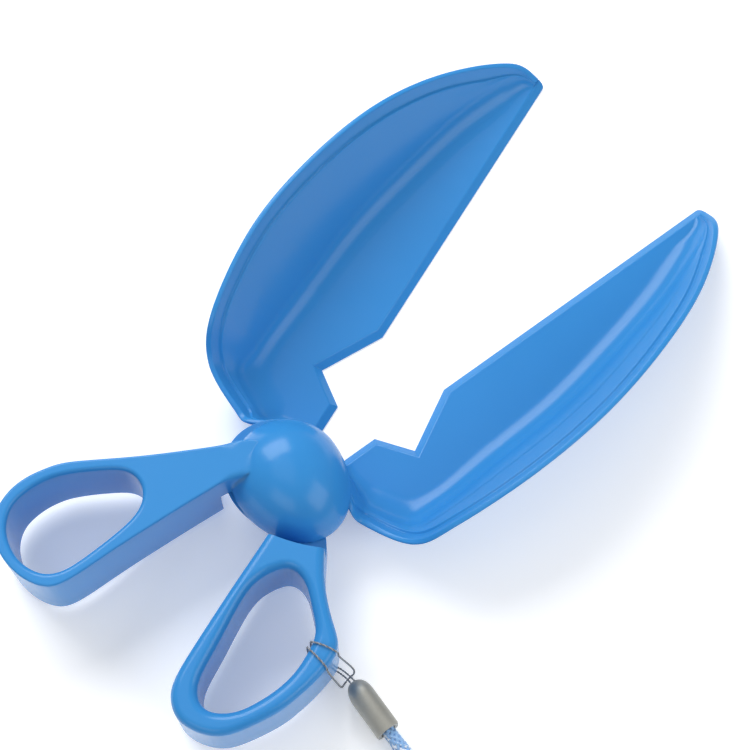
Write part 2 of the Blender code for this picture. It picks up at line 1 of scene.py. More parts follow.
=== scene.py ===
"""Looks of the scissor-action pooper scooper: finishes, lanyard, studio light and camera."""
from __future__ import annotations

import logging
import math
from dataclasses import dataclass, field
from enum import Enum

import bmesh
import bpy
from bpy.types import Material, Mesh, Node, NodeSocket, NodeTree, Object
from mathutils import Matrix, Vector

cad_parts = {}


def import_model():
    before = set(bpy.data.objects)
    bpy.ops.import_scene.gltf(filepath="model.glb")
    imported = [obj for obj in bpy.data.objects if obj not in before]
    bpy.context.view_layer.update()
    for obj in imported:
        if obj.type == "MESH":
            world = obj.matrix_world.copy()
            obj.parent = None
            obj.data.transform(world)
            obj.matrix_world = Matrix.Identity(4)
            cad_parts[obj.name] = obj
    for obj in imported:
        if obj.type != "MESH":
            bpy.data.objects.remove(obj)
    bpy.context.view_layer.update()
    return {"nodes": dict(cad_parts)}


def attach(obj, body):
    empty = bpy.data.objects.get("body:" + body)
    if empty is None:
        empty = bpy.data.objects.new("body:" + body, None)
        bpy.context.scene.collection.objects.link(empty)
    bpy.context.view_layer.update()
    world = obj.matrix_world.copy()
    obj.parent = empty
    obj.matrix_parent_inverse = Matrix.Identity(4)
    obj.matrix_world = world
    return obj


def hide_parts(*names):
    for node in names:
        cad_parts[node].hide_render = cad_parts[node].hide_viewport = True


LOG = logging.getLogger("pooper_scooper")
MILLIMETRE = 0.001
THOUSAND = 1000
STRAND = "strand"
# How much of an edge the arc at its corner may take up, beside another arc and alone.
SHARED_EDGE = 0.49
FREE_EDGE = 0.98

Colour = tuple[float, float, float]
Point = tuple[float, float, float]
Pairs = tuple[tuple[int, int], ...]
Points = list[Vector]
Profile = list[tuple[float, float]]
Inputs = dict[str | int, object]
Outputs = bpy.types.bpy_prop_collection

WHITE: Colour = (1.0, 1.0, 1.0)


class Weave(Enum):
    """How the strands of a cord lie: crossing each other, or all turning one way."""

    BRAIDED = 1
    TWISTED = 0


class Join(Enum):
    """How a tool solid changes a body."""

    ADD = "UNION"
    CUT = "DIFFERENCE"


def add_object(name: str, data: bpy.types.ID) -> Object:
    """Put a new object in the scene.

    Args:
        name: the object's name.
        data: its mesh, curve, camera or light.

    Returns:
        The new object.
    """
    item = bpy.data.objects.new(name, data)
    bpy.context.collection.objects.link(item)
    return item


def evaluated(item: Object) -> Mesh:
    """Return what an object's modifiers make of it, as a plain mesh."""
    bpy.context.view_layer.update()
    return bpy.data.meshes.new_from_object(item.evaluated_get(bpy.context.evaluated_depsgraph_get()))


def paint(item: Object, material: Material) -> None:
    """Give an object one material."""
    item.data.materials.clear()
    item.data.materials.append(material)


def towards(azimuth: float, elevation: float) -> Vector:
    """Return the way out from the object at these angles in degrees, where azimuth 0 is -Y."""
    turn, tilt = math.radians(azimuth), math.radians(elevation)
    return Vector((math.sin(turn) * math.cos(tilt), -math.cos(turn) * math.cos(tilt), math.sin(tilt)))


@dataclass(frozen=True)
class Grain:
    """A noise: its scale per metre, its octaves and how much finer it is along each axis."""

    scale: float
    detail: float
    stretch: tuple[float, float, float] = (1.0, 1.0, 1.0)


@dataclass(frozen=True)
class NodeBoard:
    """Adds and links nodes in one tree, so that each recipe reads as a list of steps."""

    tree: NodeTree

    def feed(self, node: Node, inputs: Inputs) -> None:
        """Link or set a node's inputs.

        Args:
            node: the node.
            inputs: what each input gets, by its name or number: a value, a socket or a list of sockets.
        """
        for key, value in inputs.items():
            target = node.inputs[key]
            for source in value if isinstance(value, list) else [value]:
                if isinstance(source, NodeSocket):
                    self.tree.links.new(source, target)
                else:
                    target.default_value = source

    def put(self, kind: str, inputs: Inputs | None = None, **settings: object) -> Outputs:
        """Add a node.

        Args:
            kind: the node's type name.
            inputs: what its inputs get.
            **settings: attributes that are set on it.

        Returns:
            Its output sockets, by name or number.
        """
        node = self.tree.nodes.new(kind)
        for name, value in settings.items():
            setattr(node, name, value)
        self.feed(node, inputs or {})
        return node.outputs

    def maths(self, operation: str, *values: object) -> NodeSocket:
        """Return what a Math node makes of sockets or numbers."""
        return self.put("ShaderNodeMath", dict(enumerate(values)), operation=operation)[0]

    def noise(self, grain: Grain) -> NodeSocket:
        """Add a noise in Object coordinates.

        Args:
            grain: the noise's scale, octaves and stretch.

        Returns:
            The noise's value socket.
        """
        place = self.put("ShaderNodeTexCoord")["Object"]
        mapped = self.put("ShaderNodeMapping", {"Vector": place, "Scale": grain.stretch})["Vector"]
        inputs = {"Vector": mapped, "Scale": grain.scale, "Detail": grain.detail}
        return self.put("ShaderNodeTexNoise", inputs)["Fac"]

    def band(self, value: NodeSocket, low: float, high: float) -> NodeSocket:
        """Map a 0 to 1 value to the range from low to high."""
        return self.maths("MULTIPLY_ADD", value, high - low, low)

    def blend(self, share: NodeSocket, first: Colour, second: Colour) -> NodeSocket:
        """Mix two colours: the first where the share is 0, the second where it is 1."""
        inputs = {"Factor": share, "A": (*first, 1.0), "B": (*second, 1.0)}
        return self.put("ShaderNodeMix", inputs, data_type="RGBA")["Result"]

    def ramp(self, value: NodeSocket, zero: float, one: float) -> NodeSocket:
        """Map a value to 0 at one end of a range and 1 at the other, and hold it there."""
        inputs = {"Value": value, "From Min": zero, "From Max": one}
        return self.put("ShaderNodeMapRange", inputs, clamp=True)["Result"]

    def relief(self, height: NodeSocket, depth: float, strength: float, **laid_on: NodeSocket) -> NodeSocket:
        """Return a normal bumped by a height field, laid on the one given as Normal, if any."""
        inputs = {"Height": height, "Distance": depth, "Strength": strength, **laid_on}
        return self.put("ShaderNodeBump", inputs)["Normal"]


@dataclass(frozen=True)
class Finish:
    """A procedural finish."""

    name: str

    def material(self) -> Material:
        """Make the finish.

        Returns:
            The material.
        """
        material = bpy.data.materials.new(self.name)
        material.use_nodes = True
        board = NodeBoard(material.node_tree)
        board.feed(material.node_tree.nodes["Principled BSDF"], self.surface(board))
        return material

    def surface(self, board: NodeBoard) -> Inputs:
        """Return what the shader's inputs get, by name."""
        raise NotImplementedError


@dataclass(frozen=True)
class MouldedPlastic(Finish):
    """Glossy injection-moulded plastic with faint flow marks and handling haze."""

    light: Colour
    dark: Colour
    gloss_low: float
    gloss_high: float
    flow: Grain = Grain(28.0, 3.0, (1.0, 1.0, 0.4))
    haze: Grain = Grain(140.0, 5.0)
    scratches: Grain = Grain(900.0, 2.0, (0.08, 1.0, 1.0))
    scratch_share: float = 0.02
    peel: Grain = Grain(520.0, 2.0)
    peel_depth: float = 0.00004
    peel_strength: float = 0.12
    ior: float = 1.5
    specular: float = 0.27
    subsurface: float = 0.05
    scatter: Colour = (0.2, 0.5, 1.0)
    scatter_depth: float = 0.002
    edge_round: float = 0.00025
    edge_samples: int = 8
    neck_round: float = 0.0
    neck_reach: float = 0.017
    neck_low: float = 0.018
    neck_fade: float = 0.003

    def soft_edges(self, board: NodeBoard) -> NodeSocket:
        """Soften the edges, most of all where a handle's neck runs into the ball.

        Args:
            board: where the nodes go.

        Returns:
            The softened normal's socket.
        """
        place = board.put("ShaderNodeTexCoord")["Object"]
        x, y, z = board.put("ShaderNodeSeparateXYZ", {"Vector": place})
        reach = board.maths("SQRT", board.maths("MULTIPLY_ADD", x, x, board.maths("MULTIPLY", y, y)))
        near = board.ramp(reach, self.neck_reach, self.neck_reach - self.neck_fade)
        behind = board.ramp(x, -self.neck_fade, -2 * self.neck_fade)
        above = board.ramp(z, self.neck_low, self.neck_low + self.neck_fade)
        mask = board.maths("MULTIPLY", board.maths("MULTIPLY", near, behind), above)
        radius = board.band(mask, self.edge_round, self.edge_round + self.neck_round)
        return board.put("ShaderNodeBevel", {"Radius": radius}, samples=self.edge_samples)["Normal"]

    def surface(self, board: NodeBoard) -> Inputs:
        """Lay uneven gloss, faint scratches and a slight peel on the plastic.

        Args:
            board: where the nodes go.

        Returns:
            What the shader's inputs get, by name.
        """
        rough = board.band(board.noise(self.haze), self.gloss_low, self.gloss_high)
        peel = board.noise(self.peel)
        return {
            "Base Color": board.blend(board.noise(self.flow), self.dark, self.light),
            "Roughness": board.maths("MULTIPLY_ADD", board.noise(self.scratches), self.scratch_share, rough),
            "Normal": board.relief(peel, self.peel_depth, self.peel_strength, Normal=self.soft_edges(board)),
            "IOR": self.ior,
            "Specular IOR Level": self.specular,
            "Subsurface Weight": self.subsurface,
            "Subsurface Radius": self.scatter,
            "Subsurface Scale": self.scatter_depth,
        }


@dataclass(frozen=True)
class SatinMetal(Finish):
    """Metal with a brushed or tumbled surface."""

    light: Colour
    dark: Colour
    roughness: float
    smoother: float = 0.07
    rougher: float = 0.09
    cloud: Grain = Grain(220.0, 4.0)
    grain: Grain = Grain(2600.0, 3.0)
    grain_depth: float = 0.00002
    grain_strength: float = 0.3

    def surface(self, board: NodeBoard) -> Inputs:
        """Lay a cloudy tone and a fine grain on the metal.

        Args:
            board: where the nodes go.

        Returns:
            What the shader's inputs get, by name.
        """
        grain = board.noise(self.grain)
        return {
            "Base Color": board.blend(board.noise(self.cloud), self.dark, self.light),
            "Roughness": board.band(grain, self.roughness - self.smoother, self.roughness + self.rougher),
            "Normal": board.relief(grain, self.grain_depth, self.grain_strength),
            "Metallic": 1.0,
        }


@dataclass(frozen=True)
class CordYarn(Finish):
    """Yarn of a cord, tinted strand by strand, with fine fibres along it."""

    main: Colour
    fleck: Colour
    fleck_share: float
    fibres: Grain
    fleck_shift: float = 0.17
    speckle: Grain = Grain(1500.0, 2.0)
    speckle_share: float = 0.35
    shade: Colour = (0.55, 0.55, 0.6)
    shade_share: float = 0.35
    fibre_depth: float = 0.00008
    fibre_strength: float = 0.6
    roughness: float = 0.78
    sheen: float = 0.35
    sheen_roughness: float = 0.4

    def surface(self, board: NodeBoard) -> Inputs:
        """Tint the strands and lay the fibres on them.

        Args:
            board: where the nodes go.

        Returns:
            What the shader's inputs get, by name.
        """
        strand = board.put("ShaderNodeAttribute", attribute_name=STRAND)["Fac"]
        pick = board.put("ShaderNodeTexWhiteNoise", {"W": strand}, noise_dimensions="1D")["Value"]
        both = board.maths("MULTIPLY_ADD", board.noise(self.speckle), self.speckle_share, pick)
        is_fleck = board.maths("LESS_THAN", both, self.fleck_share + self.fleck_shift)
        fibres = board.noise(self.fibres)
        layers = {"Factor": self.shade_share, "A": board.blend(is_fleck, self.main, self.fleck),
                  "B": board.blend(fibres, self.shade, WHITE)}
        shaded = board.put("ShaderNodeMix", layers, data_type="RGBA", blend_type="MULTIPLY")
        return {
            "Base Color": shaded["Result"],
            "Normal": board.relief(fibres, self.fibre_depth, self.fibre_strength),
            "Roughness": self.roughness,
            "Sheen Weight": self.sheen,
            "Sheen Roughness": self.sheen_roughness,
        }


@dataclass(frozen=True)
class StudioPaper(Finish):
    """Plain pale sheet under the object, faintly lit from below as on a light table."""

    name: str = "studio_paper"
    light: Colour = (0.96, 0.96, 0.96)
    dark: Colour = (0.94, 0.94, 0.94)
    grain: Grain = Grain(300.0, 3.0)
    glow: float = 0.24
    roughness: float = 0.9

    def surface(self, board: NodeBoard) -> Inputs:
        """Give the paper its faint grain and glow.

        Args:
            board: where the nodes go.

        Returns:
            What the shader's inputs get, by name.
        """
        return {
            "Base Color": board.blend(board.noise(self.grain), self.dark, self.light),
            "Emission Color": (*WHITE, 1.0),
            "Emission Strength": self.glow,
            "Roughness": self.roughness,
        }


SKY_BLUE = {"light": (0.040, 0.262, 0.630), "dark": (0.034, 0.242, 0.590),
            "gloss_low": 0.18, "gloss_high": 0.26}
BLUE_PLASTIC = MouldedPlastic("sky_blue_plastic", **SKY_BLUE)
NECK_PLASTIC = MouldedPlastic("sky_blue_neck_plastic", **SKY_BLUE, neck_round=0.0026)
CAP_PLASTIC = MouldedPlastic("sky_blue_cap_plastic", (0.039, 0.258, 0.622), (0.033, 0.238, 0.582),
                             gloss_low=0.25, gloss_high=0.35)
BUSH_PLASTIC = MouldedPlastic("natural_bush_plastic", (0.82, 0.81, 0.76), (0.76, 0.75, 0.7),
                              gloss_low=0.4, gloss_high=0.55)
STEEL = SatinMetal("plated_steel", (0.62, 0.63, 0.64), (0.5, 0.51, 0.53), roughness=0.3)
FERRULE_METAL = SatinMetal("satin_ferrule_metal", (0.49, 0.485, 0.44), (0.40, 0.395, 0.355), roughness=0.6)
WRIST_YARN = CordYarn("speckled_blue_yarn", (0.26, 0.48, 0.80), (0.82, 0.88, 0.95),
                      fleck_share=0.5, fibres=Grain(5200.0, 3.0))
STRING_YARN = CordYarn("grey_string_yarn", (0.190, 0.205, 0.230), (0.330, 0.350, 0.380),
                       fleck_share=0.4, fibres=Grain(9000.0, 3.0))


def smooth_path(points: Points, steps: int) -> Points:
    """Return points of a Catmull-Rom curve through the given ones.

    Args:
        points: the points that the curve passes through.
        steps: how many points each span gives.

    Returns:
        The curve's points, first and last included.
    """
    last = len(points) - 1
    path = []
    for span in range(last):
        before, start, end, after = (points[min(max(span + shift, 0), last)] for shift in (-1, 0, 1, 2))
        for step in range(steps):
            t = step / steps
            bend = (2 * before - 5 * start + 4 * end - after) * t + (end - before)
            path.append(start + (bend * t + (3 * start - before - 3 * end + after) * t ** 3) / 2)
    path.append(points[last])
    return path


@dataclass
class StrandCord:
    """A cord made of strands that run round a centreline, by Geometry Nodes.

    The strands of a braid cross over and under each other. Those of a twist turn one way.
    """

    name: str
    route_mm: tuple[Point, ...]
    frame: Matrix
    diameter: float
    strands: int
    pitch: float
    weave: Weave
    yarn: CordYarn
    steps: int = 4
    sample: float = 0.00035
    strand_share: float = 0.24
    wave_share: float = 0.08
    core_share: float = 0.62
    sides: int = 6

    def centreline(self) -> Points:
        """Return the points that the cord's middle follows."""
        points = [Vector([value * MILLIMETRE for value in point]) for point in self.route_mm]
        return smooth_path([self.frame @ point for point in points], self.steps)

    def guide(self) -> Object:
        """Lay the centreline as a curve, which the node tree reads.

        Returns:
            The curve's object.
        """
        curve = bpy.data.curves.new(self.name, "CURVE")
        curve.dimensions = "3D"
        curve.twist_mode = "MINIMUM"
        points = self.centreline()
        spline = curve.splines.new("POLY")
        spline.points.add(len(points) - 1)
        for target, point in zip(spline.points, points):
            target.co = (*point, 1.0)
        return add_object(self.name + "_guide", curve)

    def tree(self, material: Material) -> NodeTree:
        """Build the strand tree.

        Args:
            material: the yarn that every strand gets.

        Returns:
            The Geometry Nodes tree, with its sizes as named inputs.
        """
        tree = bpy.data.node_groups.new(self.name + "_strands", "GeometryNodeTree")
        sizes = {"Diameter": self.diameter, "Pitch": self.pitch, "Wave": self.wave_share * self.diameter,
                 "Strand Radius": self.strand_share * self.diameter / 2, "Crossing": float(self.weave.value),
                 "Sample": self.sample, "Strands": self.strands}
        for way in ("INPUT", "OUTPUT"):
            tree.interface.new_socket("Geometry", in_out=way, socket_type="NodeSocketGeometry")
        for label, value in sizes.items():
            kind = "NodeSocketInt" if isinstance(value, int) else "NodeSocketFloat"
            tree.interface.new_socket(label, in_out="INPUT", socket_type=kind).default_value = value

        board = NodeBoard(tree)
        given = board.put("NodeGroupInput")
        spacing = {"Curve": given["Geometry"], "Length": given["Sample"]}
        line = board.put("GeometryNodeResampleCurve", spacing, mode="LENGTH")["Curve"]
        amount = {"Geometry": line, "Amount": given["Strands"]}
        copies = board.put("GeometryNodeDuplicateElements", amount, domain="SPLINE")
        tag = {"Geometry": copies["Geometry"], "Name": STRAND, "Value": copies["Duplicate Index"]}
        tagged = board.put("GeometryNodeStoreNamedAttribute", tag, data_type="FLOAT", domain="CURVE")
        shift = {"Geometry": tagged["Geometry"], "Offset": self.strand_offset(board, given)}
        strands = board.put("GeometryNodeSetPosition", shift)["Geometry"]
        core_radius = self.core_share * self.diameter / 2
        tubes = []
        for path, radius, sides in ((strands, given["Strand Radius"], self.sides),
                                    (line, core_radius, 2 * self.sides)):
            circle = {"Radius": radius, "Resolution": sides}
            profile = board.put("GeometryNodeCurvePrimitiveCircle", circle, mode="RADIUS")["Curve"]
            sweep = {"Curve": path, "Profile Curve": profile, "Fill Caps": True}
            tubes.append(board.put("GeometryNodeCurveToMesh", sweep)["Mesh"])
        cord = board.put("GeometryNodeJoinGeometry", {"Geometry": tubes})["Geometry"]
        for kind in ("GeometryNodeSetShadeSmooth", "GeometryNodeRealizeInstances"):
            cord = board.put(kind, {"Geometry": cord})["Geometry"]
        dressed = board.put("GeometryNodeSetMaterial", {"Geometry": cord, "Material": material})["Geometry"]
        board.put("NodeGroupOutput", {"Geometry": dressed})
        return tree

    def strand_offset(self, board: NodeBoard, given: Outputs) -> NodeSocket:
        """Work out how far each point of a strand lies from the centreline.

        Args:
            board: where the nodes go.
            given: the group's input sockets.

        Returns:
            The offset vector's socket.
        """
        maths = board.maths
        tag = board.put("GeometryNodeInputNamedAttribute", {"Name": STRAND}, data_type="FLOAT")
        number = tag["Attribute"]
        along = board.put("GeometryNodeSplineParameter")["Length"]
        back = maths("MULTIPLY", maths("MODULO", number, 2.0), -2.0)
        way = maths("MULTIPLY_ADD", back, given["Crossing"], 1.0)
        turns = maths("DIVIDE", along, given["Pitch"])
        share = maths("DIVIDE", number, given["Strands"])
        angle = maths("MULTIPLY", maths("MULTIPLY_ADD", turns, way, share), math.tau)
        beats = maths("MULTIPLY", maths("MULTIPLY", turns, given["Strands"]), math.pi)
        swing = maths("MULTIPLY", maths("MULTIPLY", maths("SINE", beats), way), given["Wave"])
        outer = maths("SUBTRACT", maths("MULTIPLY", given["Diameter"], 0.5), given["Strand Radius"])
        seat = maths("SUBTRACT", outer, maths("MULTIPLY", given["Wave"], given["Crossing"]))
        radius = maths("MULTIPLY_ADD", swing, given["Crossing"], seat)
        normal = board.put("GeometryNodeInputNormal")["Normal"]
        tangent = board.put("GeometryNodeInputTangent")["Tangent"]
        side = board.put("ShaderNodeVectorMath", {0: tangent, 1: normal}, operation="CROSS_PRODUCT")[0]
        parts = []
        for axis, turn in ((normal, "COSINE"), (side, "SINE")):
            inputs = {0: axis, "Scale": maths("MULTIPLY", maths(turn, angle), radius)}
            parts.append(board.put("ShaderNodeVectorMath", inputs, operation="SCALE")[0])
        return board.put("ShaderNodeVectorMath", dict(enumerate(parts)), operation="ADD")[0]

    def build(self) -> Object:
        """Make the cord as one plain mesh.

        Returns:
            The cord's object.
        """
        material = self.yarn.material()
        guide = self.guide()
        modifier = guide.modifiers.new("strands", "NODES")
        modifier.node_group = self.tree(material)
        item = add_object(self.name, evaluated(guide))
        guide.modifiers.remove(modifier)
        bpy.data.objects.remove(guide)
        return item


@dataclass(frozen=True)
class Lanyard:
    """Wrist cord, ferrule and string, which ride on the rear half."""

    ferrule_tip: Point = (-0.0262, -0.0463, 0.0)
    ferrule_turn: float = math.radians(-101.5)
    ferrule_length: float = 0.0151
    cord_diameter: float = 0.0034
    string_diameter: float = 0.00055
    bar_corner: Point = (-0.0256, -0.0343, 0.0)
    bar_turn: float = math.radians(-150.5)
    wrist_route_mm: tuple[Point, ...] = (
        (-8, 0, 6.8), (1, 0, 6.8), (8, 0.6, 6.2), (17, 3.2, 3.3), (27, 4.6, 1.8), (39, 3.6, 1.75),
        (56, -6, 1.75), (65, -26, 1.75), (59, -48, 1.75), (40, -62, 1.75), (19, -66, 1.75), (1, -63, 1.75),
        (-8, -54, 1.75), (0, -44, 1.75), (18, -44, 1.75), (34, -41, 1.75), (45, -33, 1.75), (48, -22, 1.75),
        (42, -11, 1.75), (31, -5.5, 1.75), (21, -3.4, 1.8), (13, -1.2, 2.1), (4, 0, 3), (-1, 0, 3.1),
        (-8, 0, 3.1),
    )
    string_route_mm: tuple[Point, ...] = (
        (5.88, 10.43, 4.95), (5.3, 9.6, 4.65), (4.3, 8, 3.9), (3.6, 6.6, 3.3), (3, 4.5, 3.15),
        (2.5, 1.5, 3.1), (2.3, -0.3, 3.5), (2.3, -0.95, 5), (2.5, -1, 12), (2.6, -1, 23.5),
        (2.75, -0.3, 26.4), (3.2, 2.8, 27.45), (3.9, 5.9, 26.4), (4.2, 6.45, 23.5), (4, 7.9, 17),
        (3.7, 9.1, 11), (3.65, 9.8, 6.8), (4, 9.9, 4.3), (4.6, 9.4, 3), (5.6, 8.7, 2.7), (6.8, 8.2, 3),
        (7.85, 7.95, 4.3), (8.5, 7.65, 6.8), (8.7, 6.8, 12), (8.6, 4.8, 23.5), (8, 4.2, 26.4),
        (6.4, 1.9, 27.45), (4.6, -0.8, 26.4), (4, -1.5, 23.5), (3.9, -1.4, 12), (3.8, -1.25, 5),
        (3.6, -0.5, 3.5), (3.6, 1.5, 3.1), (4, 4.5, 3.15), (4.6, 6.4, 3.3), (5.3, 7.8, 3.9), (6.1, 9, 4.65),
        (6.72, 9.67, 4.95),
    )

    def lay(self, cord: StrandCord, node: str, slot: str, **pieces: list[str]) -> Object:
        """Args:
            cord: the cord.
            node: the CAD node that it stands for.
            slot: its material slot; not used.
            **pieces: the small pieces that sit on it; not used.

        Returns:
            The cord's object.
        """
        item = cord.build()
        path = cord.centreline()
        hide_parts(node)
        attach(item, "rear")
        return item

    def wrist_cord(self) -> Object:
        """Braid the wrist loop, laid on the floor.

        Returns:
            The loop's object.
        """
        turn = Matrix.Rotation(self.ferrule_turn, 4, "Z")
        back = Matrix.Translation((self.ferrule_length, 0.0, 0.0))
        place = Matrix.Translation(self.ferrule_tip) @ turn @ back
        cord = StrandCord("wrist_cord_braid", self.wrist_route_mm, place, self.cord_diameter,
                          strands=12, pitch=0.0125, weave=Weave.BRAIDED, yarn=WRIST_YARN,
                          strand_share=0.25, wave_share=0.035)
        return self.lay(cord, "wrist_cord", "braided_cord", with_pieces=["ferrule"])

    def tie_string(self) -> Object:
        """Twist the thin string, hitched round the ring's bar.

        Returns:
            The string's object.
        """
        place = Matrix.Translation(self.bar_corner) @ Matrix.Rotation(self.bar_turn, 4, "Z")
        cord = StrandCord("lanyard_string_twist", self.string_route_mm, place, self.string_diameter,
                          strands=2, pitch=0.0017, weave=Weave.TWISTED, yarn=STRING_YARN, steps=6,
                          sample=0.00018, strand_share=0.52, core_share=0.3)
        return self.lay(cord, "lanyard_string", "dark_string")

    def dress_ferrule(self, node: Object) -> None:
        """Give the ferrule's CAD node its satin metal."""
        dress_node(node, FERRULE_METAL.material())


def dress_node(node: Object, material: Material, smooth_angle: float = 38.0, merge: float = 0.000001) -> None:
    """Give a CAD node its finish and a smooth surface between its real edges.

    Args:
        node: the CAD node.
        material: its finish.
        smooth_angle: the widest angle, in degrees, that is shaded as one surface.
        merge: the distance below which points are one.
    """
    paint(node, material)
    node.modifiers.new("weld", "WELD").merge_threshold = merge
    node.modifiers.new("edges", "EDGE_SPLIT").split_angle = math.radians(smooth_angle)
    node.data.shade_smooth()


def relaxed(outline: Points, passes: int) -> Points:
    """Return a closed outline with its small unevenness smoothed out.

    Args:
        outline: the closed outline.
        passes: how many times each point moves halfway to its neighbours' middle.

    Returns:
        The smoothed outline.
    """
    for _ in range(passes):
        outline = [(outline[index - 1] + 2 * point + outline[(index + 1) % len(outline)]) / 4
                   for index, point in enumerate(outline)]
    return outline


def inset(outline: Points, amount: float) -> Points:
    """Return a closed plan outline moved inwards.

    Args:
        outline: the closed outline.
        amount: how far it moves, outwards if negative.

    Returns:
        The moved outline.
    """
    area = sum(a.x * b.y - b.x * a.y for a, b in zip(outline, outline[1:] + outline[:1]))
    inward = amount if area > 0 else -amount
    moved = []
    for index, point in enumerate(outline):
        along = (outline[(index + 1) % len(outline)] - outline[index - 1]).normalized()
        moved.append(point + Vector((-along.y, along.x)) * inward)
    return moved


def rounded(corners: list[tuple[float, float, float, int]]) -> Points:
    """Return an open profile whose corners are true arcs, without its first and last corner.

    Args:
        corners: across, up, radius and number of arc steps of each corner.

    Returns:
        The arcs' points in order.
    """
    points = []
    for before, corner, after in zip(corners, corners[1:], corners[2:]):
        peak = Vector(corner[:2])
        radius, steps = corner[2:]
        back, ahead = Vector(before[:2]) - peak, Vector(after[:2]) - peak
        half_turn = (math.pi - back.angle(ahead)) / 2
        room = min(edge.length * (SHARED_EDGE if other[3] else FREE_EDGE)
                   for edge, other in ((back, before), (ahead, after)))
        run = min(radius * math.tan(half_turn), room)
        if not steps:
            points.append(peak)
            continue
        start, end = peak + back.normalized() * run, peak + ahead.normalized() * run
        weight = 2 * math.cos(half_turn)
        for step in range(steps + 1):
            t = step / steps
            shares = ((1 - t) ** 2, weight * t * (1 - t), t ** 2)
            points.append((start * shares[0] + peak * shares[1] + end * shares[2]) / sum(shares))
    return points


@dataclass
class Workbench:
    """Makes lofted and turned solids, joins and cuts them, and bakes the result."""

    turn_steps: int = 144
    merge: float = 0.000002
    tools: list[Object] = field(default_factory=list)

    def loft(self, name: str, sections: list[Points], closed: bool = False) -> Object:
        """Make a closed body through sections of equally many points.

        Args:
            name: the body's name.
            sections: the sections in order.
            closed: whether the last section joins the first.

        Returns:
            The body's object.
        """
        shape = bmesh.new()
        loops = [[shape.verts.new(point) for point in section] for section in sections]
        pairs = list(zip(loops, loops[1:]))
        if closed:
            pairs.append((loops[-1], loops[0]))
        else:
            shape.faces.new(loops[0])
            shape.faces.new(loops[-1])
        for first, second in pairs:
            for index, corner in enumerate(first):
                shape.faces.new((first[index - 1], corner, second[index], second[index - 1]))
        bmesh.ops.recalc_face_normals(shape, faces=shape.faces)
        mesh = bpy.data.meshes.new(name)
        shape.to_mesh(mesh)
        shape.free()
        return add_object(name, mesh)

    def ring(self, radius: float, height: float) -> Points:
        """Return a circle of points round the hinge axis."""
        turns = (math.tau * step / self.turn_steps for step in range(self.turn_steps))
        return [Vector((radius * math.cos(turn), radius * math.sin(turn), height)) for turn in turns]

    def turned(self, name: str, profile: Profile, closed: bool = False) -> Object:
        """Make a solid round the hinge axis.

        Args:
            name: the solid's name.
            profile: its radius and height pairs, upwards, or those of a ring's closed section.
            closed: whether the solid is such a ring.

        Returns:
            The solid's object.
        """
        rings = [self.ring(radius, height) for radius, height in profile]
        return self.loft(name, list(zip(*rings)) if closed else rings, closed)

    def combine(self, target: Object, tool: Object, way: Join) -> None:
        """Join a tool solid to the target, or cut it out.

        Args:
            target: the body that is changed.
            tool: the solid that changes it.
            way: whether it is joined or cut out.
        """
        modifier = target.modifiers.new(tool.name, "BOOLEAN")
        modifier.operation = way.value
        modifier.solver = "EXACT"
        modifier.object = tool
        self.tools.append(tool)

    def bake(self, item: Object, name: str, smooth_angle: float) -> Object:
        """Turn a body and its modifiers into a plain mesh that is smooth between real edges.

        Args:
            item: the body.
            name: the finished piece's name.
            smooth_angle: the widest angle, in degrees, that is shaded as one surface.

        Returns:
            The finished piece.
        """
        mesh = evaluated(item)
        shape = bmesh.new()
        shape.from_mesh(mesh)
        bmesh.ops.remove_doubles(shape, verts=shape.verts, dist=self.merge)
        bmesh.ops.dissolve_degenerate(shape, edges=shape.edges, dist=self.merge)
        bmesh.ops.triangulate(shape, faces=shape.faces)
        shape.to_mesh(mesh)
        shape.free()
        for used in [item, *self.tools]:
            bpy.data.objects.remove(used)
        self.tools.clear()
        mesh.shade_smooth()
        mesh.set_sharp_from_angle(angle=math.radians(smooth_angle))
        raw = add_object(name + "_raw", mesh)
        raw.modifiers.new("weighted", "WEIGHTED_NORMAL").keep_sharp = True
        smooth = evaluated(raw)
        bpy.data.objects.remove(raw)
        return add_object(name, smooth)


